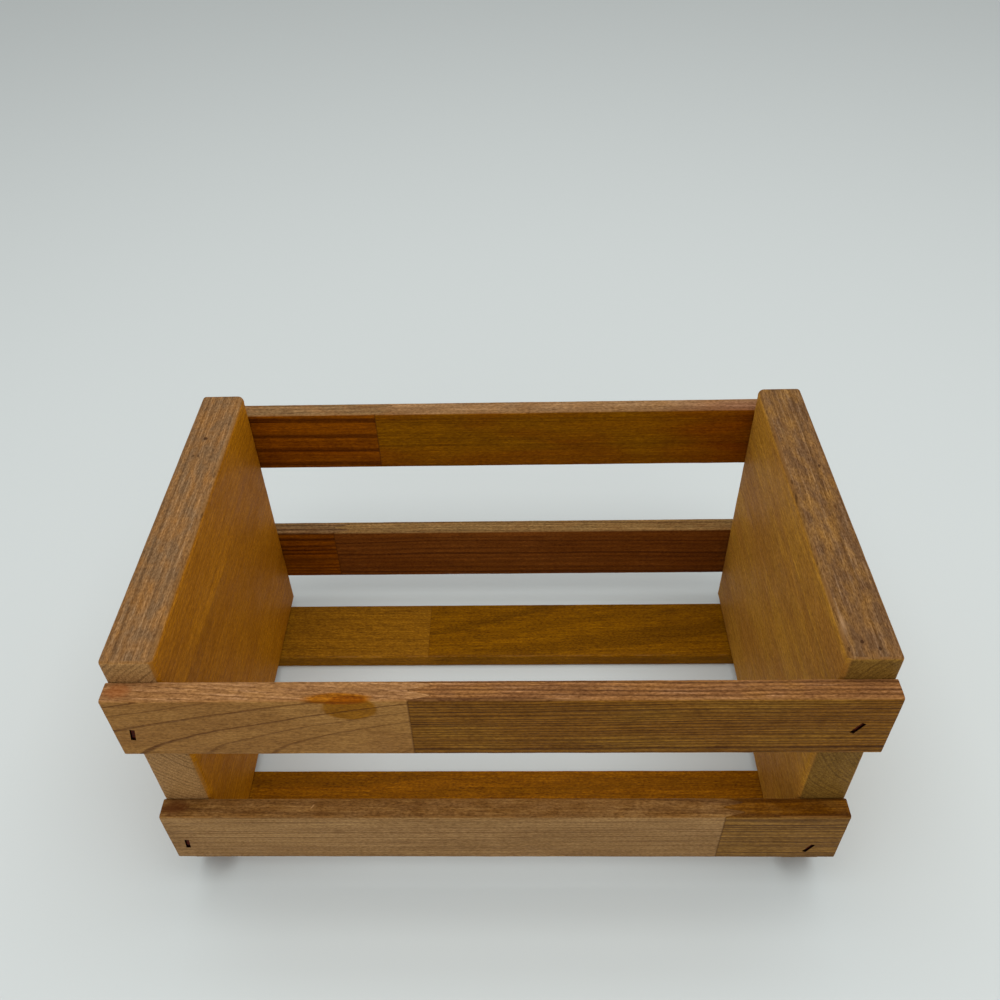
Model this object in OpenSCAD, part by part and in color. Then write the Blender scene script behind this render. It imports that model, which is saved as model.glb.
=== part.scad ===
// Small open crate: two solid end boards joined by six stapled slats, two in front, two behind
// and two beneath. X runs along the length, Y from front to back, Z up. The origin is on the
// surface the crate stands on, under its middle. Millimetres.

/* [End boards] */
// Length of the crate over the outer faces of the end boards
crate_l = 252; // [180:1:340]
// Depth of an end board, from its front edge to its back edge
end_d = 135; // [100:1:190]
// Height of an end board
end_h = 133; // [100:1:180]
// Thickness of an end board
end_t = 17.5; // [15:0.5:24]
// Radius that eases an end board's outer edges
end_ease = 1.5; // [0.5:0.25:3]
// Radius of an end board's inner edges, which are sanded rounder
end_round = 2.5; // [0.5:0.25:4]
// Radius of an end board's four corners, seen from the side
end_corner = 1.5; // [1:0.25:6]

/* [Slats] */
// Width of a slat
slat_w = 31.5; // [24:0.5:40]
// Thickness of a side slat
side_t = 7.5; // [5:0.5:12]
// Thickness of a floor slat
floor_t = 7.5; // [5:0.5:12]
// Radius that eases a slat's long edges
slat_ease = 0.75; // [0.5:0.25:2]
// Drop from the top of an end board to the top slats
top_drop = 10; // [4:1:18]
// Rise from the bottom of an end board to the bottom slats
low_rise = 17; // [4:1:24]
// How much lower the rear slats sit than the front ones
rear_low = 1.5; // [0:0.25:4]
// Distance of a floor slat from the front or back edge of the end boards
floor_inset = 6.5; // [2:0.5:18]

/* [Finger joints] */
// Length of the fingers
finger_l = 7; // [4:0.5:10]
// Number of fingers across the thickness of a slat
finger_n = 2; // [1:1:4]
// Width of the flat tip of a finger
finger_tip = 0.5; // [0.3:0.1:0.6]
// Length of the front top slat's left piece, up to its fingers
front_top_piece = 98; // [40:1:140]
// Length of the front bottom slat's right piece, with its fingers
front_bottom_piece = 45; // [30:1:140]
// Length of the rear top slat's left piece
rear_top_piece = 72; // [40:1:140]
// Length of the rear bottom slat's left piece
rear_bottom_piece = 44; // [30:1:140]
// Length of the rear floor slat's left piece
rear_floor_piece = 89; // [40:1:140]

/* [Staples] */
// Width of a staple's crown
crown_w = 5.8; // [5:0.1:10]
// Width of the wire
wire_w = 1.2; // [0.9:0.1:1.6]
// Thickness of the wire
wire_t = 1; // [0.9:0.1:1.4]
// Length of a staple's legs, crown included
leg_l = 25; // [18:1:32]
// Radius of the wire's outer bends
wire_bend = 0.8; // [0.5:0.1:0.8]
// How far the crown is driven below the face of the slat
crown_sink = 0.5; // [0.2:0.1:1]
// Distance of the left staples from the slat's end
left_in = 6; // [5:0.5:9]
// Distance of the right staples from the slat's end
right_in = 11; // [6:0.5:11]
// How far a hand-driven staple typically strays from the middle of its slat
stray = 3.5; // [0:0.5:4]
// Gap between a staple and the wood around it
staple_fit = 0.05; // [0.02:0.01:0.1]

/* [Hidden] */
$fn = 48;
past = 1; // how far a cut runs past the face it opens
end_top = floor_t + end_h;
top_mid = end_top - top_drop - slat_w / 2;
low_mid = floor_t + low_rise + slat_w / 2;
floor_mid = end_d / 2 - floor_inset - slat_w / 2;
left_x = left_in - crate_l / 2;
right_x = crate_l / 2 - right_in;
front_top_joint = front_top_piece - crate_l / 2;
front_bottom_joint = crate_l / 2 - front_bottom_piece;
rear_top_joint = rear_top_piece - crate_l / 2;
rear_bottom_joint = rear_bottom_piece - crate_l / 2;
rear_floor_joint = rear_floor_piece - crate_l / 2;

// Each pair of staples: how far above the slat's middle each one is, as a share of stray, and
// its lean in degrees.
front_top_spots = [[-1, -10], [-0.2, -29]];
front_bottom_spots = [[-1.35, -5], [-2.3, -26]];
rear_top_spots = [[0.3, -12], [-0.9, 8]];
rear_bottom_spots = [[0.6, 20], [0, -6]];
front_floor_spots = [[-0.6, -9], [-0.9, 15]];
rear_floor_spots = [[0.6, 6], [1.1, -18]];

// Outline with all four corners rounded, centred on both axes.
module rounded_outline(w, h, r) {
    square([w - 2 * r, h], center = true);
    square([w, h - 2 * r], center = true);
    for (x = [r - w / 2, w / 2 - r], y = [r - h / 2, h / 2 - r])
        translate([x, y]) circle(r);
}

// A slat lies along X on its inner face, which is z = 0, and its outer face looks up.
module whole_slat(t) {
    rotate([90, 0, 90])
        translate([0, t / 2])
            linear_extrude(crate_l, center = true)
                rounded_outline(slat_w, t, slat_ease);
}

// One finger's outline across the thickness: from its foot out to the tip and back.
function finger(start, foot, pitch) = [
    [start, foot + finger_tip / 2],
    [start + finger_l, foot + (pitch - finger_tip) / 2],
    [start + finger_l, foot + (pitch + finger_tip) / 2],
    [start, foot + pitch - finger_tip / 2],
];

// All of a slat's length to the left of its finger joint.
module left_of_joint(start, t) {
    far = -crate_l / 2 - past;
    pitch = t / finger_n;
    fingers = [for (i = [0 : finger_n - 1], p = finger(start, i * pitch, pitch)) p];
    rotate([90, 0, 0])
        linear_extrude(slat_w + 2 * past, center = true)
            polygon(concat([[far, 0], [start, 0]], fingers, [[start, t], [far, t]]));
}

// A staple's outline: the top of its crown at y = 0 and its legs pointing down.
module staple_outline() {
    bend_x = crown_w / 2 - wire_bend;
    leg_x = crown_w / 2 - wire_t;
    difference() {
        union() {
            translate([-crown_w / 2, -leg_l]) square([crown_w, leg_l - wire_bend]);
            translate([-bend_x, -leg_l]) square([2 * bend_x, leg_l]);
            for (x = [-bend_x, bend_x])
                translate([x, -wire_bend]) circle(wire_bend);
        }
        translate([-leg_x, -leg_l - past]) square([2 * leg_x, leg_l + past - wire_t]);
    }
}

// A staple, crown along Y and legs down Z.
module staple() {
    rotate([90, 0, 90])
        linear_extrude(wire_w, center = true)
            staple_outline();
}

// The room a staple takes in the wood: the crown's groove, open above, and the two leg holes.
module staple_room() {
    room_w = wire_w + 2 * staple_fit;
    groove_l = crown_w + 2 * staple_fit;
    leg_t = wire_t + 2 * staple_fit;
    translate([-room_w / 2, -groove_l / 2, -wire_t])
        cube([room_w, groove_l, wire_t + crown_sink + past]);
    for (s = [-1, 1])
        translate([-room_w / 2, s * (crown_w - wire_t) / 2 - leg_t / 2, -leg_l - staple_fit])
            cube([room_w, leg_t, leg_l]);
}

// Puts its children at each of a slat's two staples, or at the left or right one alone.
module at_staples(spots, t, sides = [0, 1]) {
    for (i = sides)
        translate([[left_x, right_x][i], spots[i][0] * stray, t - crown_sink])
            rotate([0, 0, spots[i][1]])
                children();
}

// The place of each slat on the end boards.
module at_front(mid) {
    translate([0, -end_d / 2, mid]) rotate([90, 0, 0]) children();
}

module at_rear(mid) {
    translate([0, end_d / 2, mid - rear_low]) rotate([-90, 0, 0]) children();
}

module at_floor(mid) {
    translate([0, mid, floor_t]) rotate([180, 0, 0]) children();
}

// The two halves of a finger-jointed slat, and a slat of one length.
module left_half(joint, t, spots) {
    difference() {
        intersection() {
            whole_slat(t);
            left_of_joint(joint, t);
        }
        at_staples(spots, t, [0]) staple_room();
    }
}

module right_half(joint, t, spots) {
    difference() {
        whole_slat(t);
        left_of_joint(joint, t);
        at_staples(spots, t, [1]) staple_room();
    }
}

module one_piece(t, spots) {
    difference() {
        whole_slat(t);
        at_staples(spots, t) staple_room();
    }
}

// Outline across an end board's thickness: eased outer corners at left, rounder inner ones.
module board_outline(h) {
    outer_x = end_ease - end_t / 2;
    inner_x = end_t / 2 - end_round;
    translate([outer_x, -h / 2]) square([inner_x - outer_x, h]);
    translate([-end_t / 2, end_ease - h / 2]) square([end_t / 2, h - 2 * end_ease]);
    translate([0, end_round - h / 2]) square([end_t / 2, h - 2 * end_round]);
    for (s = [-1, 1]) {
        translate([outer_x, s * (h / 2 - end_ease)]) circle(end_ease);
        translate([inner_x, s * (h / 2 - end_round)]) circle(end_round);
    }
}

// An end board, standing on the floor slats, with leg holes for the staples of one side.
module end_board(side) {
    middle_x = [end_t - crate_l, crate_l - end_t][side] / 2;
    difference() {
        translate([middle_x, 0, floor_t + end_h / 2])
            rotate([0, 0, 180 * side])
                intersection() {
                    rotate([90, 0, 0])
                        linear_extrude(end_d, center = true)
                            board_outline(end_h);
                    linear_extrude(end_h, center = true)
                        board_outline(end_d);
                    rotate([90, 0, 90])
                        linear_extrude(end_t, center = true)
                            rounded_outline(end_d, end_h, end_corner);
                }
        at_front(top_mid) at_staples(front_top_spots, side_t, [side]) staple_room();
        at_front(low_mid) at_staples(front_bottom_spots, side_t, [side]) staple_room();
        at_rear(top_mid) at_staples(rear_top_spots, side_t, [side]) staple_room();
        at_rear(low_mid) at_staples(rear_bottom_spots, side_t, [side]) staple_room();
        at_floor(-floor_mid) at_staples(front_floor_spots, floor_t, [side]) staple_room();
        at_floor(floor_mid) at_staples(rear_floor_spots, floor_t, [side]) staple_room();
    }
}

module left_end_board() {
    color("#b98d5e") end_board(0);
}

module right_end_board() {
    color("#b38556") end_board(1);
}

module front_top_slat_left() {
    color("#b78a59") at_front(top_mid) left_half(front_top_joint, side_t, front_top_spots);
}

module front_top_slat_right() {
    color("#9a6d40") at_front(top_mid) right_half(front_top_joint, side_t, front_top_spots);
}

module front_bottom_slat_left() {
    color("#a97c4c") at_front(low_mid) left_half(front_bottom_joint, side_t, front_bottom_spots);
}

module front_bottom_slat_right() {
    color("#8c6238") at_front(low_mid) right_half(front_bottom_joint, side_t, front_bottom_spots);
}

module rear_top_slat_left() {
    color("#8a4f2a") at_rear(top_mid) left_half(rear_top_joint, side_t, rear_top_spots);
}

module rear_top_slat_right() {
    color("#83592e") at_rear(top_mid) right_half(rear_top_joint, side_t, rear_top_spots);
}

module rear_bottom_slat_left() {
    color("#7d4d27") at_rear(low_mid) left_half(rear_bottom_joint, side_t, rear_bottom_spots);
}

module rear_bottom_slat_right() {
    color("#946a3c") at_rear(low_mid) right_half(rear_bottom_joint, side_t, rear_bottom_spots);
}

module front_floor_slat() {
    color("#85572a") at_floor(-floor_mid) one_piece(floor_t, front_floor_spots);
}

module rear_floor_slat_left() {
    color("#a06c3c") at_floor(floor_mid) left_half(rear_floor_joint, floor_t, rear_floor_spots);
}

module rear_floor_slat_right() {
    color("#7f5a2c") at_floor(floor_mid) right_half(rear_floor_joint, floor_t, rear_floor_spots);
}

module front_top_staples() {
    color("#4b423c") at_front(top_mid) at_staples(front_top_spots, side_t) staple();
}

module front_bottom_staples() {
    color("#4b423c") at_front(low_mid) at_staples(front_bottom_spots, side_t) staple();
}

module rear_top_staples() {
    color("#4b423c") at_rear(top_mid) at_staples(rear_top_spots, side_t) staple();
}

module rear_bottom_staples() {
    color("#4b423c") at_rear(low_mid) at_staples(rear_bottom_spots, side_t) staple();
}

module front_floor_staples() {
    color("#4b423c") at_floor(-floor_mid) at_staples(front_floor_spots, floor_t) staple();
}

module rear_floor_staples() {
    color("#4b423c") at_floor(floor_mid) at_staples(rear_floor_spots, floor_t) staple();
}

left_end_board();
right_end_board();
front_top_slat_left();
front_top_slat_right();
front_bottom_slat_left();
front_bottom_slat_right();
rear_top_slat_left();
rear_top_slat_right();
rear_bottom_slat_left();
rear_bottom_slat_right();
front_floor_slat();
rear_floor_slat_left();
rear_floor_slat_right();
front_top_staples();
front_bottom_staples();
rear_top_staples();
rear_bottom_staples();
front_floor_staples();
rear_floor_staples();
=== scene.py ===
import bpy
import math
from mathutils import Euler, Matrix, Vector


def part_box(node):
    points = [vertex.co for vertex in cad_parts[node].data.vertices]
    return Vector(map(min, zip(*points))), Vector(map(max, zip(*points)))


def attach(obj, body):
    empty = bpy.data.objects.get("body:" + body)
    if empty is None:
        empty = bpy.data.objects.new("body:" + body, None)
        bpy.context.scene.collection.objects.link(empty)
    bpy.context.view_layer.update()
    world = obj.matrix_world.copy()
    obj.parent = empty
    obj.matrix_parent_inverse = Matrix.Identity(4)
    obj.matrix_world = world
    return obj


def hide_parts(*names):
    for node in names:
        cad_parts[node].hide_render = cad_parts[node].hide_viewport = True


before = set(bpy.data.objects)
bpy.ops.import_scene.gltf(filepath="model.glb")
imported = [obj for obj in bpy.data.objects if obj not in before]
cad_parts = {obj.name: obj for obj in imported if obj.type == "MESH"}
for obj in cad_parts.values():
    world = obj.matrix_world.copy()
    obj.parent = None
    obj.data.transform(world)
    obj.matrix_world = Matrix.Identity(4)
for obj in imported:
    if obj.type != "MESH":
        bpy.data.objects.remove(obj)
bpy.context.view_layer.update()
mm = 0.001
print("frame loaded:", len(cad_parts), "nodes")


# Shared helpers

def linear(hexColour):
    # sRGB hex to the linear colour that a shader wants
    parts = [int(hexColour[i:i + 2], 16) / 255 for i in (1, 3, 5)]
    return [c / 12.92 if c <= 0.04045 else ((c + 0.055) / 1.055) ** 2.4 for c in parts] + [1]


def addNode(tree, kind, inputs=None, **settings):
    # One node with its settings, numbers and links. A node given as an input is linked by the
    # first output that it offers.
    node = tree.nodes.new("ShaderNode" + kind)
    for key, value in settings.items():
        setattr(node, key, value)
    for key, value in (inputs or {}).items():
        if isinstance(value, bpy.types.Node):
            value = next(socket for socket in value.outputs if socket.enabled)
        if isinstance(value, bpy.types.NodeSocket):
            tree.links.new(value, node.inputs[key])
        else:
            node.inputs[key].default_value = value
    return node


def onlySelect(piece):
    bpy.ops.object.select_all(action="DESELECT")
    piece.select_set(True)
    bpy.context.view_layer.objects.active = piece


def applyModifier(piece, kind, **settings):
    onlySelect(piece)
    modifier = piece.modifiers.new(kind.title(), kind)
    for key, value in settings.items():
        setattr(modifier, key, value)
    bpy.ops.object.modifier_apply(modifier=modifier.name)


def pick(piece, kind, test):
    # in edit mode: selects the verts, edges or faces that pass a test
    bpy.ops.object.mode_set(mode="OBJECT")
    bpy.context.tool_settings.mesh_select_mode = [kind == k for k in ("VERT", "EDGE", "FACE")]
    data = piece.data
    parts = dict(VERT=data.vertices, EDGE=data.edges, FACE=data.polygons)
    for part in [part for some in parts.values() for part in some]:
        part.select = False
    for part in parts[kind]:
        part.select = test(data, part)
    bpy.ops.object.mode_set(mode="EDIT")


def runsAlong(axis, least=0.0):
    # a test for edges that run along one axis and are longer than a length
    def test(data, edge):
        a, b = [data.vertices[i].co for i in edge.vertices]
        run = b - a
        return run.length > least and abs(run[axis]) > 0.999 * run.length
    return test


# Wood

# Softwood under a thin clear varnish, in millimetres. The varnish gives the eye a soft, low shine
# and warm colour on the sides; the upper edges have lost it and look dry. The top colours also hold
# painted light: painted sheen makes the tops paler and pinkish grey, and painted shade makes the
# tops of the lower slats darker, under the slats above.
pine = dict(
    grain="x",          # the axis that the fibres run along
    lean=(0, 0, 0),     # degrees between the log and the board
    seed=0,
    pith=(0, -60),      # heart of the log, seen from the middle of the board
    rings=1.6,          # thickness of a year's growth
    uneven=1.6,         # how much the years differ
    wander=3.0,         # slow waves in the rings
    shiver=0.5,         # quick waves
    lateFrom=0.45,      # where in a ring its dark wood starts
    weakRing=0.35,      # share of darkness in the palest ring
    lateShare=1.0,      # how dark the darkest rings are
    lines=0.3,          # long fine streaks
    fibre=0.25,         # fine streaks, as a share of the colour
    speckle=0.36,       # grit of pores
    mottle=0.25,        # blotches
    flecks=0.45,        # short dark pores
    fleckFrom=0.63,     # lower for more of them
    glue=0.5,           # how dark the joint line is
    toneShare=0.7,      # slow changes towards the second colour
    worn=0.35,          # light dashes on the dry top
    rub=0.25,           # wear on the arrises
    rough=0.5,
    ridge=0.05,         # how far the dark wood stands up
    pore=0.12,          # how deep the fine streaks are
    early="#98692f", late="#5f3912", tone="#85581f", fleck="#452608",
    # the colours of upward faces: dry wood, with painted sheen and painted shade laid in
    topEarly="#8b6239", topLate="#5d3a1b", topWorn="#a98059",
    endEarly="#8a6030", endLate="#4d2f12", rubbed="#a9783f")

# What a single mark says unless its board does: turn in degrees, a ragged outline, where its soft
# edge starts as a share of its size, and how its colour is laid on. A dent is a depth.
plainMark = dict(turn=(0, 0, 0), rag=0.5, soft=0.8, how="MIX", dent=0)

# sizes of the noises, as waves per millimetre along and across the fibres, with detail and roughness
grainNoises = dict(
    tone=((0.016, 0.06, 0.06), 2, 0.5),
    mottle=((0.10, 0.22, 0.22), 3, 0.6),
    line=((0.012, 0.6, 0.6), 3, 0.6),
    fibre=((0.055, 1.45, 1.45), 4, 0.65),
    fleck=((0.24, 2.0, 2.0), 1, 0.5),
    speckle=((0.75, 2.0, 2.0), 2, 0.6))


def growthRings(tree, inLog, log):
    # the distance to the pith, wandering slowly along the log and shivering a little
    bent = inLog
    for scale, detail, reach in (((0.007, 0.03, 0.03), 1, log["wander"]),
                                 ((0.035, 0.16, 0.16), 2, log["shiver"])):
        stretched = addNode(tree, "VectorMath", {0: inLog, 1: scale}, operation="MULTIPLY")
        cloud = addNode(tree, "TexNoise", {"Vector": stretched, "Scale": 1, "Detail": detail})
        centred = addNode(tree, "VectorMath", {0: cloud.outputs["Color"], 1: (0.5, 0.5, 0.5)},
                          operation="SUBTRACT")
        bent = addNode(tree, "VectorMath", {0: centred, 1: (0, reach, reach), 2: bent},
                       operation="MULTIPLY_ADD")
    flat = addNode(tree, "VectorMath", {0: bent, 1: (0, 1, 1)}, operation="MULTIPLY")
    radius = addNode(tree, "VectorMath", {0: flat}, operation="LENGTH")

    # years: each has pale early wood and a dark edge of late wood, some years darker than others
    years = addNode(tree, "Math", {0: radius, 1: log["rings"]}, operation="DIVIDE")
    slowYears = addNode(tree, "Math", {0: years, 1: 0.33}, operation="MULTIPLY")
    uneven = addNode(tree, "TexNoise", {"W": slowYears, "Scale": 1, "Detail": 0}, noise_dimensions="1D")
    phase = addNode(tree, "Math", {0: uneven, 1: log["uneven"], 2: years}, operation="MULTIPLY_ADD")
    inRing = addNode(tree, "Math", {0: phase}, operation="FRACT")
    ringNumber = addNode(tree, "Math", {0: phase}, operation="FLOOR")
    rise = addNode(tree, "MapRange", {"Value": inRing, "From Min": log["lateFrom"],
                                      "From Max": 0.5 + log["lateFrom"] / 2},
                   interpolation_type="SMOOTHSTEP")
    fall = addNode(tree, "MapRange", {"Value": inRing, "From Min": 1, "From Max": 0.96},
                   interpolation_type="SMOOTHSTEP")
    latewood = addNode(tree, "Math", {0: rise, 1: fall}, operation="MULTIPLY")
    chance = addNode(tree, "TexWhiteNoise", {"W": ringNumber}, noise_dimensions="1D")
    strength = addNode(tree, "MapRange", {"Value": chance, "To Min": log["weakRing"] * log["lateShare"],
                                          "To Max": log["lateShare"]})
    return addNode(tree, "Math", {0: latewood, 1: strength}, operation="MULTIPLY")


def layMark(tree, spot, mark, colour, height):
    # one mark, such as stains, scratches, pits, smudges and patches of painted shade: an uneven ellipsoid
    # of colour, and of depth if it has a dent
    offset = addNode(tree, "Mapping", {"Vector": spot, "Location": mark["at"], "Scale": mark["size"],
                                       "Rotation": [math.radians(a) for a in mark["turn"]]},
                     vector_type="TEXTURE")
    reach = addNode(tree, "VectorMath", {0: offset}, operation="LENGTH")
    ragged = addNode(tree, "TexNoise", {"Vector": offset, "Scale": 1.5, "Detail": 3})
    reach = addNode(tree, "Math", {0: ragged, 1: mark["rag"], 2: reach}, operation="MULTIPLY_ADD")
    outer = 1 + mark["rag"] / 2
    inside = addNode(tree, "MapRange", {"Value": reach, "From Min": outer,
                                        "From Max": outer * mark["soft"]},
                     interpolation_type="SMOOTHSTEP")
    share = addNode(tree, "Math", {0: inside, 1: mark["share"]}, operation="MULTIPLY")
    colour = addNode(tree, "Mix", {0: share, 6: colour, 7: linear(mark["colour"])}, data_type="RGBA",
                     blend_type=mark["how"])
    if mark["dent"]:
        height = addNode(tree, "Math", {0: inside, 1: -mark["dent"], 2: height}, operation="MULTIPLY_ADD")
    return colour, height


def glueLine(tree, spot, joint, share):
    # the dark line of a finger joint, a zigzag across the thickness
    place = addNode(tree, "SeparateXYZ", {"Vector": spot})
    thin = place.outputs[joint["thin"]]
    depth = addNode(tree, "Math", {0: thin, 1: joint["low"]}, operation="SUBTRACT")
    zig = addNode(tree, "Math", {0: depth, 1: joint["pitch"] / 2}, operation="PINGPONG")
    ahead = addNode(tree, "MapRange", {"Value": zig, "From Min": joint["tip"] / 2,
                                       "From Max": (joint["pitch"] - joint["tip"]) / 2,
                                       "To Max": joint["length"]})
    past = addNode(tree, "Math", {0: place.outputs[0], 1: joint["at"]}, operation="SUBTRACT")
    away = addNode(tree, "Math", {0: past, 1: ahead}, operation="SUBTRACT")
    gap = addNode(tree, "Math", {0: away}, operation="ABSOLUTE")
    return addNode(tree, "MapRange", {"Value": gap, "From Min": 0.5, "From Max": 0.1, "To Max": share},
                   interpolation_type="SMOOTHSTEP")


def woodMaterial(name, log, middle, joint):
    # The growth rings are tubes round the log's pith, so a board's face, edge and end grain all
    # show the same rings.
    material = bpy.data.materials.new(name)
    material.use_nodes = True
    tree = material.node_tree
    shader = tree.nodes["Principled BSDF"]
    where = addNode(tree, "TexCoord")
    spot = addNode(tree, "Mapping", {"Vector": where.outputs["Object"], "Scale": (1000, 1000, 1000)})

    # the log lies along X, turned so that its fibres follow the board
    turn = Euler([math.radians(a) for a in log["lean"]]).to_matrix()
    if log["grain"] == "y":
        turn = turn @ Matrix.Rotation(math.radians(-90), 3, "Z")
    shift = -(turn @ middle) - Vector((log["seed"] * 37.0, *log["pith"]))
    inLog = addNode(tree, "Mapping", {"Vector": spot, "Rotation": turn.to_euler(), "Location": shift})

    ringDark = growthRings(tree, inLog, log)

    # streaks, pores and blotches at their own sizes along and across the fibres
    grain = {}
    for key, (scale, detail, roughness) in grainNoises.items():
        stretched = addNode(tree, "VectorMath", {0: inLog, 1: scale}, operation="MULTIPLY")
        grain[key] = addNode(tree, "TexNoise", {"Vector": stretched, "Scale": 1, "Detail": detail,
                                                "Roughness": roughness})

    # grit breaks the rings up
    broken = addNode(tree, "MapRange", {"Value": grain["fibre"], "From Min": 0.35, "From Max": 0.6,
                                        "To Min": 0.45, "To Max": 1})
    ringDark = addNode(tree, "Math", {0: ringDark, 1: broken}, operation="MULTIPLY")

    # which way the surface faces: end grain, dry tops with painted sheen and painted shade, and rubbed
    # arrises
    facing = addNode(tree, "SeparateXYZ", {"Vector": where.outputs["Normal"]})
    across, along, up = [addNode(tree, "Math", {0: side}, operation="ABSOLUTE") for side in facing.outputs]
    endOn = addNode(tree, "MapRange", {"Value": across if log["grain"] == "x" else along,
                                       "From Min": 0.72, "From Max": 0.9}, interpolation_type="SMOOTHSTEP")
    upward = addNode(tree, "MapRange", {"Value": facing.outputs[2], "From Min": 0.15, "From Max": 0.75},
                     interpolation_type="SMOOTHSTEP")
    widest = addNode(tree, "Math", {0: across, 1: along}, operation="MAXIMUM")
    flattest = addNode(tree, "Math", {0: widest, 1: up}, operation="MAXIMUM")
    arris = addNode(tree, "MapRange", {"Value": flattest, "From Min": 0.97, "From Max": 0.8},
                    interpolation_type="SMOOTHSTEP")

    # the two ends of the colour range, by what the surface is
    toneHere = addNode(tree, "MapRange", {"Value": grain["tone"], "From Min": 0.38, "From Max": 0.62,
                                          "To Max": log["toneShare"]}, interpolation_type="SMOOTHSTEP")
    pale = addNode(tree, "Mix", {0: toneHere, 6: linear(log["early"]), 7: linear(log["tone"])},
                   data_type="RGBA")
    patchy = addNode(tree, "MapRange", {"Value": grain["mottle"], "From Min": 0.3, "From Max": 0.6,
                                        "To Min": 0.7, "To Max": 1.0})
    # upward faces take the top colours: dry wood, and painted light, a paler pinkish painted sheen on some
    # tops and painted shade on the tops of the lower slats
    topDryAndPaintedLight = addNode(tree, "Math", {0: upward, 1: patchy}, operation="MULTIPLY")
    dashes = addNode(tree, "MapRange", {"Value": grain["fibre"], "From Min": 0.5, "From Max": 0.68,
                                        "To Max": log["worn"]}, interpolation_type="SMOOTHSTEP")
    topPaleDryAndPaintedLight = addNode(tree, "Mix", {0: dashes, 6: linear(log["topEarly"]), 7: linear(log["topWorn"])},
                      data_type="RGBA")
    pale = addNode(tree, "Mix", {0: topDryAndPaintedLight, 6: pale, 7: topPaleDryAndPaintedLight}, data_type="RGBA")
    pale = addNode(tree, "Mix", {0: endOn, 6: pale, 7: linear(log["endEarly"])}, data_type="RGBA")
    dark = addNode(tree, "Mix", {0: topDryAndPaintedLight, 6: linear(log["late"]), 7: linear(log["topLate"])},
                   data_type="RGBA")
    dark = addNode(tree, "Mix", {0: endOn, 6: dark, 7: linear(log["endLate"])}, data_type="RGBA")

    # the rings, then streaks and blotches of late wood, then pores
    colour = addNode(tree, "Mix", {0: ringDark, 6: pale, 7: dark}, data_type="RGBA")
    for key, low, high, share in (("line", 0.42, 0.66, log["lines"]),
                                  ("mottle", 0.45, 0.72, log["mottle"])):
        amount = addNode(tree, "MapRange", {"Value": grain[key], "From Min": low, "From Max": high,
                                            "To Max": share}, interpolation_type="SMOOTHSTEP")
        colour = addNode(tree, "Mix", {0: amount, 6: colour, 7: dark}, data_type="RGBA")
    gritty = addNode(tree, "MapRange", {"Value": upward, "To Min": 0.8, "To Max": 1})
    for key, share in (("fibre", log["fibre"]), ("speckle", log["speckle"])):
        # brighter and darker by a share, more so in green and blue
        swing = Vector((5.0, 5.8, 6.6)) * share
        tint = addNode(tree, "VectorMath", {0: grain[key], 1: swing, 2: Vector((1, 1, 1)) - swing / 2},
                       operation="MULTIPLY_ADD")
        colour = addNode(tree, "Mix", {0: gritty, 6: colour, 7: tint}, data_type="RGBA",
                         blend_type="MULTIPLY")
    pores = addNode(tree, "MapRange", {"Value": grain["fleck"], "From Min": log["fleckFrom"],
                                       "From Max": log["fleckFrom"] + 0.09, "To Max": log["flecks"]},
                    interpolation_type="SMOOTHSTEP")
    bareOfVarnish = addNode(tree, "MapRange", {"Value": upward, "To Min": 0.3, "To Max": 1})
    pores = addNode(tree, "Math", {0: pores, 1: bareOfVarnish}, operation="MULTIPLY")
    colour = addNode(tree, "Mix", {0: pores, 6: colour, 7: linear(log["fleck"])}, data_type="RGBA")
    bare = addNode(tree, "MapRange", {"Value": grain["mottle"], "From Min": 0.4, "From Max": 0.6,
                                      "To Max": log["rub"]}, interpolation_type="SMOOTHSTEP")
    rubbed = addNode(tree, "Math", {0: arris, 1: bare}, operation="MULTIPLY")
    colour = addNode(tree, "Mix", {0: rubbed, 6: colour, 7: linear(log["rubbed"])}, data_type="RGBA")

    rough = addNode(tree, "MapRange", {"Value": grain["mottle"], "From Min": 0.3, "From Max": 0.7,
                                       "To Min": log["rough"] - 0.05, "To Max": log["rough"] + 0.08})
    ridges = addNode(tree, "Math", {0: ringDark, 1: log["ridge"]}, operation="MULTIPLY")
    height = addNode(tree, "Math", {0: grain["fibre"], 1: log["pore"], 2: ridges},
                     operation="MULTIPLY_ADD")

    for mark in log.get("marks", ()):
        colour, height = layMark(tree, spot, dict(plainMark, **mark), colour, height)
    if joint:
        line = glueLine(tree, spot, joint, log["glue"])
        colour = addNode(tree, "Mix", {0: line, 6: colour, 7: linear(log["fleck"])}, data_type="RGBA")

    bump = addNode(tree, "Bump", {"Height": height, "Strength": 1, "Distance": mm})
    for socket, node in (("Base Color", colour.outputs[2]), ("Roughness", rough.outputs[0]),
                         ("Normal", bump.outputs[0])):
        tree.links.new(node, shader.inputs[socket])
    shader.inputs["IOR"].default_value = 1.5
    shader.inputs["Specular IOR Level"].default_value = 0.03
    return material


# Boards

def rawBoard(name, low, high):
    bpy.ops.object.select_all(action="DESELECT")
    bpy.ops.mesh.primitive_cube_add(size=1, location=(low + high) / 2, scale=high - low)
    board = bpy.context.object
    board.name = board.data.name = name
    bpy.ops.object.transform_apply(location=True, rotation=True, scale=True)
    return board


def cutAcross(board, axis, places):
    normal = [0, 0, 0]
    normal[axis] = 1
    for place in places:
        bpy.ops.mesh.select_all(action="SELECT")
        point = [0, 0, 0]
        point[axis] = place
        bpy.ops.mesh.bisect(plane_co=point, plane_no=normal)


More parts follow.
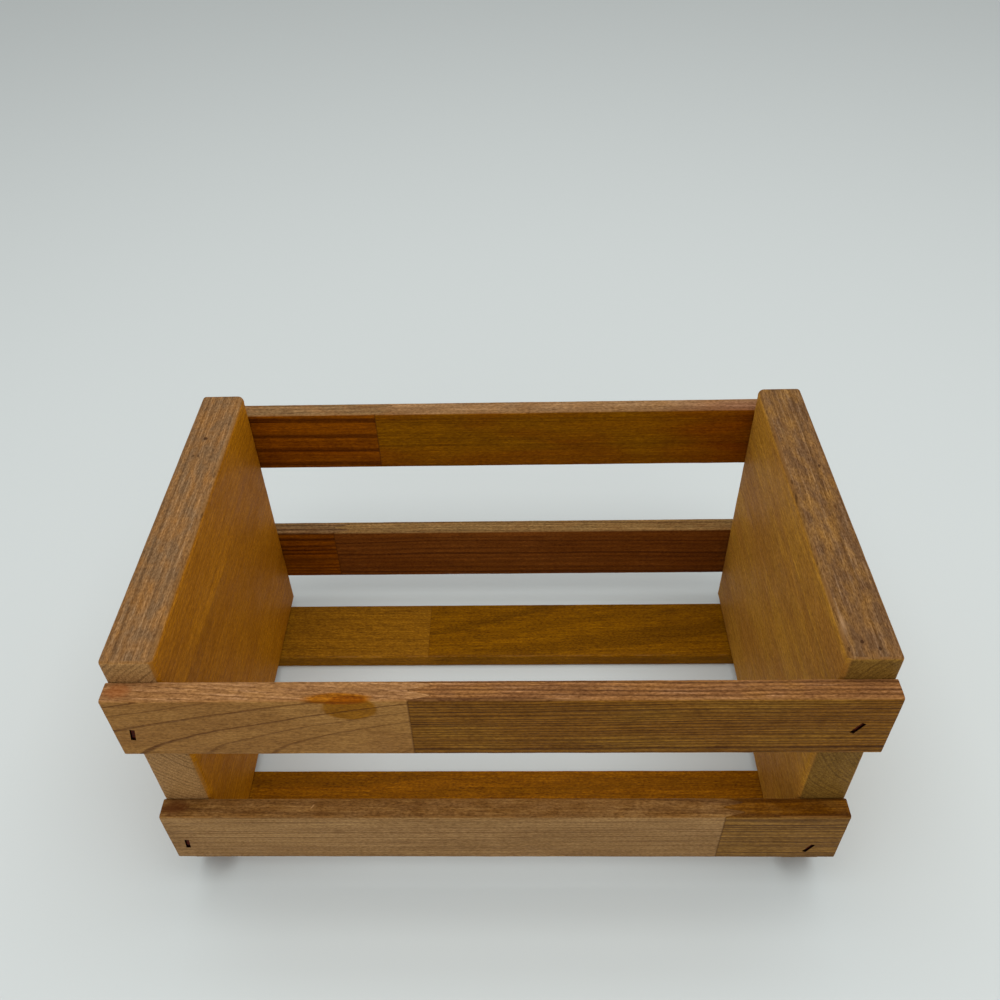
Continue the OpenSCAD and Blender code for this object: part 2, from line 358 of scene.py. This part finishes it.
def divideLong(board, axis, step):
    # divides the edges along an axis into even lengths, the longest first
    while True:
        bpy.ops.object.mode_set(mode="OBJECT")
        data = board.data
        lengths = [(data.vertices[e.vertices[0]].co - data.vertices[e.vertices[1]].co).length
                   for e in data.edges if runsAlong(axis, 1.6 * step)(data, e)]
        bpy.ops.object.mode_set(mode="EDIT")
        if not lengths:
            return
        pick(board, "EDGE", runsAlong(axis, 0.98 * max(lengths)))
        bpy.ops.mesh.subdivide(number_cuts=max(1, round(max(lengths) / step) - 1))


# the finger joint: how deep it is, how many fingers share the thickness, and how blunt they are
fingers = dict(length=7 * mm, count=2, tip=0.5 * mm)

touch = 1e-3 * mm                       # points closer than this are at one place
cells = dict(along=1.6 * mm, across=3 * mm, board=(8, 56, 55))      # of the meshes: sizes, and counts


def zigzag(depth, thickness):
    # how far the joint reaches along the slat at a depth below its face, from 0 to 1
    pitch = thickness / fingers["count"]
    place = depth % pitch
    place = min(place, pitch - place)
    return min(1, max(0, (place - fingers["tip"] / 2) / (pitch / 2 - fingers["tip"])))


def slat(name, node, plan):
    # A slat runs along X. "thin" is the axis of its thickness, "wide" the axis of its width.
    low, high = [Vector(corner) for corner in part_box(node)]
    thin = 2 if plan["place"] == "floor" else 1
    wide = 3 - thin
    middle = (low + high) / 2 / mm
    thickness = high[thin] - low[thin]
    pitch = thickness / fingers["count"]
    side = plan.get("jointSide")        # +1: the joint is at the right end, -1: at the left
    start = joint = None
    if side == 1:
        high.x -= fingers["length"]
        start = high.x
    elif side == -1:
        start = low.x
    board = rawBoard(name, low, high)
    bpy.ops.object.mode_set(mode="EDIT")
    pick(board, "EDGE", runsAlong(0))
    bpy.ops.mesh.bevel(offset=plan["ease"] * mm, offset_type="OFFSET", segments=4, profile=0.5,
                       affect="EDGES")
    ends = [x for x in (low.x, high.x) if start is None or abs(x - start) > mm]
    for end in ends:
        pick(board, "EDGE", lambda m, e: all(abs(m.vertices[i].co.x - end) < touch for i in e.vertices))
        bpy.ops.mesh.bevel(offset=0.4 * mm, segments=2, profile=0.5, affect="EDGES")
    if start is not None:
        joint = dict(at=start / mm, thin=thin, low=low[thin] / mm, pitch=pitch / mm,
                     tip=fingers["tip"] / mm, length=fingers["length"] / mm)
        half = (pitch - fingers["tip"]) / 2
        depths = [i * pitch + d for i in range(fingers["count"])
                  for d in (half, pitch - half, pitch - fingers["tip"] / 2, pitch + fingers["tip"] / 2)]
        cutAcross(board, thin, [low[thin] + d for d in depths[:-2]])
        # a cut behind the fingers, so that only the end of the board is stretched
        keep = 2 * mm if side == 1 else fingers["length"] + 2 * mm
        cutAcross(board, 0, [start - side * keep])
        bpy.ops.object.mode_set(mode="OBJECT")
        levels = sorted({round(v.co[thin], 7) for v in board.data.vertices
                         if abs(v.co.x - start) < touch})
        bpy.ops.object.mode_set(mode="EDIT")
        for level in levels:
            pick(board, "VERT", lambda m, v: abs(v.co.x - start) < touch
                 and abs(v.co[thin] - level) < touch / 5)
            ahead = fingers["length"] * zigzag(level - low[thin], thickness)
            if ahead > 0:
                bpy.ops.transform.translate(value=(ahead, 0, 0))
    divideLong(board, wide, cells["across"])
    divideLong(board, 0, cells["along"])
    bpy.ops.object.mode_set(mode="OBJECT")
    finishBoard(board, plan, woodMaterial(plan["wood"], plan, middle, joint))
    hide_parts(node)


sanding = (("uneven", 16 * mm, 0.12 * mm), ("fine", 3.5 * mm, 0.07 * mm))


def finishBoard(board, plan, material):
    board.data.materials.append(material)
    cutStaples(board, plan)
    for name, grain, strength in sanding:
        roughen(board, name, grain, strength)
    onlySelect(board)
    bpy.ops.object.shade_smooth_by_angle(angle=math.radians(38))
    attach(board, "root")


def roughen(board, name, grain, strength):
    # hand sanding: the surface is never quite flat
    texture = bpy.data.textures.get(name) or bpy.data.textures.new(name, "CLOUDS")
    texture.noise_scale = grain
    texture.noise_depth = 1
    applyModifier(board, "DISPLACE", texture=texture, texture_coords="GLOBAL", strength=strength,
                  mid_level=0.5)


def ironStainAndSlotShade():
    # Pine darkened in each staple slot: partly stained by the iron, partly painted shade of the deep
    # slot. The eye sees each staple slot as a dull, near black hole. The darkness is patchy at about 1 mm.
    material = bpy.data.materials.new("pine darkened by iron and painted shade")
    material.use_nodes = True
    tree = material.node_tree
    shader = tree.nodes["Principled BSDF"]
    place = addNode(tree, "TexCoord").outputs["Object"]
    darkPatches = addNode(tree, "TexNoise", {"Vector": place, "Scale": 1200, "Detail": 2})
    colour = addNode(tree, "Mix", {0: darkPatches, 6: linear("#060201"), 7: linear("#1c0b05")},
                     data_type="RGBA")
    tree.links.new(colour.outputs[2], shader.inputs["Base Color"])
    shader.inputs["Roughness"].default_value = 0.95
    shader.inputs["Specular IOR Level"].default_value = 0
    return material


def cutStaples(board, plan):
    # the slots that the crowns were driven into, a little crushed at the mouth
    for at, lean in plan.get("staples", ()):
        bpy.ops.object.select_all(action="DESELECT")
        bpy.ops.mesh.primitive_cube_add(size=1, scale=((staple["wire"] + staple["play"]) * mm,
                                                       (staple["crown"] + staple["play"]) * mm,
                                                       2 * staple["slot"] * mm))
        cutter = bpy.context.object
        bpy.ops.object.transform_apply(location=True, rotation=True, scale=True)
        bpy.ops.object.mode_set(mode="EDIT")
        pick(cutter, "FACE", lambda m, f: f.normal.z > 0.9)
        bpy.ops.transform.resize(value=(1.5, 1.04, 1))
        pick(cutter, "EDGE", runsAlong(2, 2 * mm))
        bpy.ops.mesh.bevel(offset=staple["play"] * mm, segments=2, affect="EDGES")
        bpy.ops.object.mode_set(mode="OBJECT")
        cutter.data.materials.append(slotStainAndShadeWood)
        putOnFace(cutter, at, plan["place"], lean)
        applyModifier(board, "BOOLEAN", object=cutter, operation="DIFFERENCE", solver="EXACT",
                      material_mode="TRANSFER")
        bpy.data.objects.remove(cutter)


def endBoard(name, node, plan):
    # A solid board with its fibres from front to back, rounder on its inner edges.
    low, high = [Vector(corner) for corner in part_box(node)]
    board = rawBoard(name, low, high)
    inner, outer = (high.x, low.x) if plan["inside"] > 0 else (low.x, high.x)
    bpy.ops.object.mode_set(mode="EDIT")
    pick(board, "EDGE", runsAlong(0))
    bpy.ops.mesh.bevel(offset=plan["corner"] * mm, offset_type="OFFSET", segments=5, profile=0.5,
                       affect="EDGES")
    for face, ease in ((inner, plan["round"]), (outer, plan["ease"])):
        pick(board, "EDGE", lambda m, e: all(abs(m.vertices[i].co.x - face) < touch for i in e.vertices))
        bpy.ops.mesh.bevel(offset=ease * mm, offset_type="OFFSET", segments=5, profile=0.5,
                           affect="EDGES")
    thick, deep, tall = cells["board"]
    cutAcross(board, 2, [low.z + (high.z - low.z) * i / tall for i in range(1, tall)])
    cutAcross(board, 1, [low.y + (high.y - low.y) * i / deep for i in range(1, deep)])
    cutAcross(board, 0, [low.x + (high.x - low.x) * i / thick for i in range(2, thick - 1)])
    bpy.ops.object.mode_set(mode="OBJECT")
    finishBoard(board, plan, woodMaterial(plan["wood"], plan, (low + high) / 2 / mm, None))
    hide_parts(node)


# Staples

# In millimetres: how wide and thick the wire is, the crown and the legs, the radius of the bends, how
# far the crown is sunk, the play of its slot, how deep the slot is cut, and where the staples sit.
staple = dict(wire=1.2, thick=1.0, crown=5.8, leg=25, bend=0.8, edge=0.28, sink=0.5, play=0.15, slot=1.5,
              left=-120, right=115, name="dulled steel wire", colour="#2e0b04", rust="#561d0b")
outward = dict(front=Euler((math.radians(90), 0, 0)), rear=Euler((math.radians(-90), 0, 0)),
               floor=Euler((math.radians(180), 0, 0)))


def putOnFace(piece, at, place, lean):
    # turns a shape made on z = 0 onto the outer face of a slat
    piece.data.transform(outward[place].to_matrix().to_4x4() @ Matrix.Rotation(math.radians(lean), 4, "Z"))
    piece.data.transform(Matrix.Translation([c * mm for c in at]))


def stapleSpots(place, node, spots):
    # where a slat's two staples sit on its outer face, and how they lean
    low, high = [Vector(corner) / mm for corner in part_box(node)]
    middle = (low + high) / 2
    out = []
    for x, (up, lean) in zip((staple["left"], staple["right"]), spots):
        at = {"front": (x, low.y, middle.z + up), "rear": (x, high.y, middle.z + up),
              "floor": (x, middle.y - up, 0)}[place]
        out.append((at, lean))
    return out


def drivenStaple(at, place, lean):
    # one length of flattened wire, bent twice and pointed, with its crown below the wood
    wire = staple["wire"] * mm
    thick, crown, leg = staple["thick"] * mm, staple["crown"] * mm, staple["leg"] * mm
    bpy.ops.object.select_all(action="DESELECT")
    bpy.ops.mesh.primitive_cube_add(size=1, location=(0, 0, -thick / 2), scale=(wire, crown, thick))
    piece = bpy.context.object
    bpy.ops.object.transform_apply(location=True, rotation=True, scale=True)
    bpy.ops.object.mode_set(mode="EDIT")
    cutAcross(piece, 1, (-crown / 2 + thick, crown / 2 - thick))
    pick(piece, "FACE", lambda m, f: f.normal.z < -0.9 and abs(f.center.y) > crown / 2 - thick)
    bpy.ops.mesh.extrude_region_move(TRANSFORM_OT_translate={"value": (0, 0, thick - leg)})
    for side in (-1, 1):
        pick(piece, "FACE", lambda m, f: f.normal.z < -0.9 and f.center.z < -leg / 2
             and f.center.y * side > 0)
        bpy.ops.transform.resize(value=(1, 0.3, 1))
    pick(piece, "EDGE", lambda m, e: all(m.vertices[i].co.z > -touch and
                                         abs(m.vertices[i].co.y) > crown / 2 - touch for i in e.vertices))
    bpy.ops.mesh.bevel(offset=staple["bend"] * mm, segments=4, affect="EDGES")
    bpy.ops.object.mode_set(mode="OBJECT")
    applyModifier(piece, "BEVEL", width=staple["edge"] * mm, segments=2, limit_method="ANGLE",
                  angle_limit=math.radians(40))
    bpy.ops.object.shade_smooth_by_angle(angle=math.radians(50))
    piece.data.transform(Matrix.Translation((0, 0, -staple["sink"] * mm)))
    putOnFace(piece, at, place, lean)
    return piece


def stapleMaterial():
    # Drawn steel wire gone dull and brown. It gives the eye a near black crown with hardly any
    # shine; it isn't metallic here, since bare metal would glint.
    material = bpy.data.materials.new(staple["name"])
    material.use_nodes = True
    tree = material.node_tree
    shader = tree.nodes["Principled BSDF"]
    place = addNode(tree, "TexCoord").outputs["Object"]
    patches = addNode(tree, "TexNoise", {"Vector": place, "Scale": 900, "Detail": 3})
    rusty = addNode(tree, "MapRange", {"Value": patches, "From Min": 0.42, "From Max": 0.6})
    colour = addNode(tree, "Mix", {0: rusty, 6: linear(staple["colour"]), 7: linear(staple["rust"])},
                     data_type="RGBA")
    rough = addNode(tree, "MapRange", {"Value": rusty, "To Min": 0.5, "To Max": 0.85})
    for socket, node in (("Base Color", colour.outputs[2]), ("Roughness", rough.outputs[0])):
        tree.links.new(node, shader.inputs[socket])
    shader.inputs["Metallic"].default_value = 0
    shader.inputs["Specular IOR Level"].default_value = 0.05
    return material


def staplePair(name, node, spots, place):
    pair = [drivenStaple(at, place, lean) for at, lean in spots]
    onlySelect(pair[0])
    pair[1].select_set(True)
    bpy.ops.object.join()
    piece = bpy.context.object
    piece.name = piece.data.name = name
    piece.data.materials.append(stapleSteel)
    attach(piece, "root")
    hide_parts(node)


# a staple's spot is its height above the middle of its slat, and its lean
stapleSteel = stapleMaterial()
frontTop = stapleSpots("front", "front_top_slat_left", ((-3.5, -10), (-0.7, -29)))
frontBottom = stapleSpots("front", "front_bottom_slat_left", ((-4.725, -5), (-8.05, -26)))
rearTop = stapleSpots("rear", "rear_top_slat_left", ((1.05, -12), (-3.15, 8)))
rearBottom = stapleSpots("rear", "rear_bottom_slat_left", ((2.1, 20), (0, -6)))
frontFloor = stapleSpots("floor", "front_floor_slat", ((-2.1, -9), (-3.15, 15)))
rearFloor = stapleSpots("floor", "rear_floor_slat_left", ((2.1, 6), (3.85, -18)))
staplePair("frontTopStaples", "front_top_staples", frontTop, "front")
staplePair("frontBottomStaples", "front_bottom_staples", frontBottom, "front")
staplePair("rearTopStaples", "rear_top_staples", rearTop, "rear")
staplePair("rearBottomStaples", "rear_bottom_staples", rearBottom, "rear")
staplePair("frontFloorStaples", "front_floor_staples", frontFloor, "floor")
staplePair("rearFloorStaples", "rear_floor_staples", rearFloor, "floor")
print("twelve staples done")


# The boards, each cut from its own log

slotStainAndShadeWood = ironStainAndSlotShade()

frontTopLeft = dict(pine, place="front", staples=frontTop[:1], slot="pale_slat_wood", jointSide=1, ease=1.0,
                    wood="varnished pine, tan with thin dark rings",
                    pith=(112, -22), lean=(0, 0, 3.5), rings=1.6, uneven=0.8, lateFrom=0.84,
                    wander=1.2, shiver=0.25, weakRing=0.05, lines=0.12, mottle=0.12, worn=0.2,
                    early="#986d38", late="#543012", tone="#865c2d", topEarly="#89613a",
                    topLate="#59351a", topWorn="#a38065", rub=0.35, rubbed="#a5733c",
                    marks=[dict(at=(-50, -74, 130.3), size=(13, 2.4, 2.2), colour="#f4ce4c",
                                share=1, soft=0.7, rag=0.5, how="MULTIPLY"),
                           dict(at=(-46.5, -75, 126), size=(9.5, 3, 6.5), colour="#e6d060",
                                share=1, soft=0.85, rag=0.3, how="MULTIPLY"),
                           dict(at=(-50, -74.7, 129.6), size=(13, 1.0, 0.5), colour="#6a3608",
                                share=0.6, soft=0.6, rag=0.6),
                           dict(at=(-121, -71, 130.5), size=(6, 3.5, 2), colour="#85441a",
                                share=0.45, soft=0.5, rag=0.6)])
slat("frontTopSlatLeft", "front_top_slat_left", frontTopLeft)

frontTopRight = dict(pine, place="front", staples=frontTop[1:], slot="dark_slat_wood", jointSide=-1,
                     ease=1.0, wood="varnished pine, close dark rings",
                     pith=(100, -100), lean=(0, 0.2, 0), rings=1.15, uneven=1.2, lateFrom=0.4,
                     wander=2.6, shiver=0.6, weakRing=0.6, lines=0.3, mottle=0.3,
                     early="#90641f", late="#3c1f06", tone="#784a12", topEarly="#885c34",
                     topLate="#492b15", topWorn="#a17a57",
                     marks=[dict(at=(31.5, -75, 104), size=(5, 2, 1.2), colour="#2a1407",
                                 share=0.5, soft=0.3, rag=0.6)])
slat("frontTopSlatRight", "front_top_slat_right", frontTopRight)

frontBottomLeft = dict(pine, place="front", staples=frontBottom[:1], slot="pale_slat_wood", jointSide=1,
                       ease=1.0, wood="varnished pine, pale and straight",
                       pith=(60, -120), lean=(0, 0.3, 0.2), rings=1.3, uneven=1.2, lateFrom=0.4,
                       wander=2.5, shiver=0.5, lines=0.4, weakRing=0.15, fibre=0.15, mottle=0.15,
                       # its top colours are darker than its face: partly darker wood, partly painted shade
                       # under the top slat
                       early="#a07b4d", late="#6e4b2b", tone="#89663c", topEarly="#6f4a20",
                       topLate="#462910", topWorn="#906c39",
                       marks=[dict(at=(-113.2, -75, 42), size=(2.0, 1, 0.3), colour="#c8a26c",
                                   share=0.55, soft=0.5, rag=0.6, dent=0.15),
                              dict(at=(-116, -75, 42), size=(0.5, 1, 0.4), colour="#3a1e0b",
                                   share=0.6, soft=0.5, rag=0.5),
                              dict(at=(-69.7, -70.9, 56), size=(0.35, 1.3, 1), turn=(0, 0, -35),
                                   colour="#b88d5c", share=0.45, soft=0.5, rag=0.5, dent=0.1),
                              dict(at=(-121, -71, 56), size=(7, 4, 2), colour="#4a2006",
                                   share=0.6, soft=0.5, rag=0.6)])
slat("frontBottomSlatLeft", "front_bottom_slat_left", frontBottomLeft)

frontBottomRight = dict(pine, place="front", staples=frontBottom[1:], slot="dark_slat_wood", jointSide=-1,
                        ease=1.0, wood="varnished pine, brown and streaked",
                        pith=(40, -140), lean=(0, -0.6, 0), rings=2.1, lateFrom=0.35, wander=3.0,
                        shiver=0.6, lines=0.4, weakRing=0.3,
                        # its top colours are darker than its face: partly darker wood, partly painted shade
                        # under the top slat
                        early="#90682f", late="#492c14", tone="#765122", topEarly="#653a03",
                        topLate="#3d1e01", topWorn="#815207")
slat("frontBottomSlatRight", "front_bottom_slat_right", frontBottomRight)

rearTopLeft = dict(pine, place="rear", staples=rearTop[:1], slot="red_slat_wood", jointSide=1, ease=1.0,
                   wood="varnished pine, red with dark stripes",
                   pith=(0, 179.5), lean=(0, -0.4, 0), rings=8.5, uneven=0.3, lateFrom=0.6, wander=1.5,
                   shiver=0.4, weakRing=0.8, lines=0.35, toneShare=0.5,
                   early="#854700", late="#3f1900", tone="#763800", topEarly="#7c5f3c",
                   topLate="#432714", topWorn="#967853")
slat("rearTopSlatLeft", "rear_top_slat_left", rearTopLeft)

rearTopRight = dict(pine, place="rear", staples=rearTop[1:], slot="dark_slat_wood", jointSide=-1, ease=1.0,
                    wood="varnished pine, plain brown",
                    pith=(-30, 160), lean=(0, 0.2, 0), rings=1.4, lateFrom=0.3, weakRing=0.1, lines=0.3,
                    lateShare=0.6, early="#835200", late="#573300", tone="#773b00", toneShare=0.6,
                    topEarly="#8e6c48", topLate="#5c3e21", topWorn="#a78863",
                    # at the right end, a patch multiplied in: partly redder wood, partly painted shade
                    # where the slat meets the right end board
                    marks=[dict(at=(106, 67.5, 113), size=(46, 14, 40), colour="#f2d2e6",
                                share=1, soft=0.15, rag=0.3, how="MULTIPLY")])
slat("rearTopSlatRight", "rear_top_slat_right", rearTopRight)

rearBottomLeft = dict(rearTopLeft, staples=rearBottom[:1], wood="varnished pine, red and close",
                      pith=(-120, 80), rings=1.8, uneven=1.2, lateFrom=0.5, weakRing=0.3, seed=3)
slat("rearBottomSlatLeft", "rear_bottom_slat_left", rearBottomLeft)

rearBottomRight = dict(pine, place="rear", staples=rearBottom[1:], slot="dark_slat_wood", jointSide=-1,
                       ease=1.0, wood="varnished pine, brown and close",
                       pith=(-90, -60), lean=(0, 0.4, 0.6), rings=1.7, seed=5, lateFrom=0.4,
                       early="#7a4414", late="#4c2508", tone="#6e3a0c", topEarly="#8b6a3d",
                       topLate="#573e22", topWorn="#9c7e50")
slat("rearBottomSlatRight", "rear_bottom_slat_right", rearBottomRight)

frontFloorPlan = dict(pine, place="floor", staples=frontFloor, slot="floor_slat_wood", ease=1.0,
                      wood="varnished pine, orange brown",
                      pith=(30, 180), lean=(0, 0.5, 0.5), rings=1.8, seed=7, lateFrom=0.4, lateShare=0.7,
                      lines=0.3, early="#8e5803", late="#5b3501", tone="#804d02",
                      topEarly="#824d03", topLate="#553201", topWorn="#945f06", worn=0.2)
slat("frontFloorSlat", "front_floor_slat", frontFloorPlan)

rearFloorLeft = dict(pine, place="floor", staples=rearFloor[:1], slot="pale_slat_wood", jointSide=1,
                     ease=1.0, wood="varnished pine, light brown", glue=0.2,
                     pith=(100, 90), lean=(0, 0.3, 0.2), rings=1.3, seed=9, lateFrom=0.4, weakRing=0.1,
                     lateShare=0.6, early="#94610c", late="#6c4206", tone="#835409",
                     topEarly="#82550c", topLate="#603b06", topWorn="#8f6314", worn=0.2)
slat("rearFloorSlatLeft", "rear_floor_slat_left", rearFloorLeft)

rearFloorRight = dict(pine, place="floor", staples=rearFloor[1:], slot="floor_slat_wood", jointSide=-1,
                      ease=1.0, wood="varnished pine, olive brown", glue=0.2,
                      pith=(30, 200), lean=(0, 1.0, -1.5), rings=1.7, seed=11, lateFrom=0.4, weakRing=0.1,
                      lateShare=0.6, early="#855502", late="#5e3901", tone="#754701",
                      topEarly="#784b01", topLate="#533100", topWorn="#855901", worn=0.2)
slat("rearFloorSlatRight", "rear_floor_slat_right", rearFloorRight)
print("eleven slat lengths done")

leftBoard = dict(pine, grain="y", inside=1, corner=1.5, round=2.5, ease=1.5, slot="end_board_wood",
                 wood="varnished pine board, dark lines",
                 pith=(-29, 32), rings=1.9, uneven=1.0, seed=13, lateFrom=0.5, wander=3.0, shiver=0.5,
                 lines=0.15, mottle=0.15, rub=0.5, rubbed="#8e6230", lateShare=0.7, weakRing=0.3,
                 # the top colours are paler and pinkish grey beside the sides: dry wood with a painted
                 # sheen
                 early="#ac6d0d", late="#89530d", tone="#9b5f0d", topEarly="#76593b", topLate="#412b17",
                 topWorn="#8b7255", endEarly="#9e7647", endLate="#533820",
                 marks=[dict(at=(-118, 39.5, 140.5), size=(1.1, 1.1, 1), colour="#2e1709",
                             share=0.8, soft=0.6, dent=0.3),
                        dict(at=(-120.4, 29.1, 140.5), size=(0.6, 0.8, 1), colour="#2e1709",
                             share=0.45, soft=0.6, dent=0.3),
                        dict(at=(-118.2, 28.9, 140.5), size=(0.6, 0.6, 1), colour="#2e1709",
                             share=0.45, soft=0.6, dent=0.3),
                        dict(at=(-109.4, 18.7, 140), size=(0.4, 2.0, 1.5), colour="#3a1f0d",
                             share=0.4, soft=0.6, dent=0.2),
                        dict(at=(-109.4, 12.7, 140), size=(0.4, 1.6, 1.5), colour="#3a1f0d",
                             share=0.4, soft=0.6, dent=0.2),
                        dict(at=(-108.9, -2.7, 139.5), size=(0.4, 1.6, 1.5), colour="#3a1f0d",
                             share=0.35, soft=0.6, dent=0.2)])
endBoard("leftEndBoard", "left_end_board", leftBoard)

rightBoard = dict(pine, grain="y", inside=-1, corner=1.5, round=2.5, ease=1.5, slot="end_board_wood",
                  wood="varnished pine board, fine streaks",
                  pith=(-40, 31), rings=1.35, uneven=1.2, seed=17, lateFrom=0.45, wander=4.0, shiver=0.6,
                  lines=0.2, mottle=0.15, weakRing=0.3, lateShare=0.5, rub=0.5, rubbed="#8a5f2e", worn=0.35,
                  flecks=0.5, fleckFrom=0.58,
                  # the top colours are paler and pinkish grey beside the sides: dry wood with a painted
                  # sheen
                  early="#b27e28", late="#8d5e28", tone="#9f6a28", topEarly="#684b30", topLate="#3f280f",
                  topWorn="#81684f", endEarly="#7b5924", endLate="#3b230f",
                  marks=[dict(at=(114.4, -61.1, 140.5), size=(0.6, 0.8, 1), colour="#2e1709",
                              share=0.8, soft=0.6, dent=0.3),
                         dict(at=(119.1, -63.7, 140.5), size=(0.6, 0.9, 1), colour="#2e1709",
                              share=0.8, soft=0.6, dent=0.3),
                         dict(at=(109.6, -63.6, 140.2), size=(0.4, 1.0, 1), colour="#2e1709",
                              share=0.5, soft=0.6, dent=0.3),
                         dict(at=(121.8, 19.6, 140.5), size=(0.6, 0.8, 1), colour="#2e1709",
                              share=0.7, soft=0.6, dent=0.3),
                         dict(at=(109.5, 11.3, 140), size=(0.4, 1.4, 1.5), colour="#2e1709",
                              share=0.5, soft=0.6, dent=0.2),
                         dict(at=(109.2, 3, 140), size=(0.5, 3.6, 1.5), turn=(0, 0, -9), colour="#341a0a",
                              share=0.6, soft=0.5, dent=0.1),
                         dict(at=(113.6, 43.5, 140.5), size=(1.6, 7, 2), turn=(0, 0, 20), colour="#452410",
                              share=0.3, soft=0.4, rag=0.8),
                         dict(at=(110.4, -54, 140), size=(1.5, 8, 1.8), colour="#b08a62",
                              share=0.4, soft=0.3, rag=0.8)])
endBoard("rightEndBoard", "right_end_board", rightBoard)
print("end boards done")


# Stage, light and camera

def lightAndStage():
    # Matt white paper. It lets a view from below through, and light onto the undersides near it,
    # and lies just below the unevenness of the floor slats.
    paper = bpy.data.materials.new("matt white paper")
    paper.use_nodes = True
    tree = paper.node_tree
    shader = tree.nodes["Principled BSDF"]
    shader.inputs["Base Color"].default_value = linear("#c5cbca")
    shader.inputs["Roughness"].default_value = 0.9
    shader.inputs["Specular IOR Level"].default_value = 0.1
    below = addNode(tree, "NewGeometry").outputs["Backfacing"]
    length = addNode(tree, "LightPath").outputs["Ray Length"]
    close = addNode(tree, "Math", {0: length, 1: 0.5 * mm}, operation="LESS_THAN")
    through = addNode(tree, "Math", {0: below, 1: close}, operation="MAXIMUM")
    clear = addNode(tree, "BsdfTransparent")
    sheet = addNode(tree, "MixShader", {0: through, 1: shader.outputs[0], 2: clear})
    tree.links.new(sheet.outputs[0], tree.nodes["Material Output"].inputs["Surface"])
    bpy.ops.object.select_all(action="DESELECT")
    bpy.ops.mesh.primitive_plane_add(size=8, location=(0, 0, -0.12 * mm))
    floor = bpy.context.object
    floor.name = "floor"
    floor.data.materials.append(paper)

    # even light from all sides, and a pale backdrop where the camera looks past the floor
    world = bpy.data.worlds.new("soft tent")
    world.use_nodes = True
    tree = world.node_tree
    tent = tree.nodes["Background"]
    tent.inputs["Color"].default_value = (1, 1, 1, 1)
    tent.inputs["Strength"].default_value = 0.62
    path = addNode(tree, "LightPath").outputs
    seen = addNode(tree, "Math", {0: path["Is Camera Ray"], 1: path["Is Glossy Ray"]}, operation="MAXIMUM")
    backdrop = addNode(tree, "Background", {"Color": linear("#b4bdbd"), "Strength": 1})
    both = addNode(tree, "MixShader", {0: seen, 1: tent, 2: backdrop})
    tree.links.new(both.outputs[0], tree.nodes["World Output"].inputs["Surface"])
    bpy.context.scene.world = world

    for name, energy, place, tilt in (("overhead softbox", 10, (0.05, -0.1, 1.2), 0),
                                      ("front softbox", 2.5, (0.1, -1.1, 1.0), 48)):
        lamp = bpy.data.lights.new(name, "AREA")
        lamp.shape = "RECTANGLE"
        lamp.size, lamp.size_y = 1.2, 0.9
        lamp.energy = energy
        softbox = bpy.data.objects.new(name, lamp)
        softbox.location = place
        softbox.rotation_euler = (math.radians(tilt), 0, 0)
        bpy.context.scene.collection.objects.link(softbox)


# the photograph's camera, as fitted to the crate's edges: metres, degrees and millimetres
shot = dict(at=(0.007291, -0.239374, 0.382639), turn=(49.9563, 1.6300, 0.7992), lens=33.312,
            shift=(0.01041, -0.07984))


def camera():
    data = bpy.data.cameras.new("camera")
    data.sensor_width = 36
    data.lens = shot["lens"]
    data.shift_x, data.shift_y = shot["shift"]
    data.clip_start = 0.01
    eye = bpy.data.objects.new("camera", data)
    eye.location = shot["at"]
    eye.rotation_euler = [math.radians(a) for a in shot["turn"]]
    bpy.context.scene.collection.objects.link(eye)
    bpy.context.scene.camera = eye
    bpy.context.scene.view_settings.view_transform = "Standard"


lightAndStage()
camera()
print("stage, light and camera done")
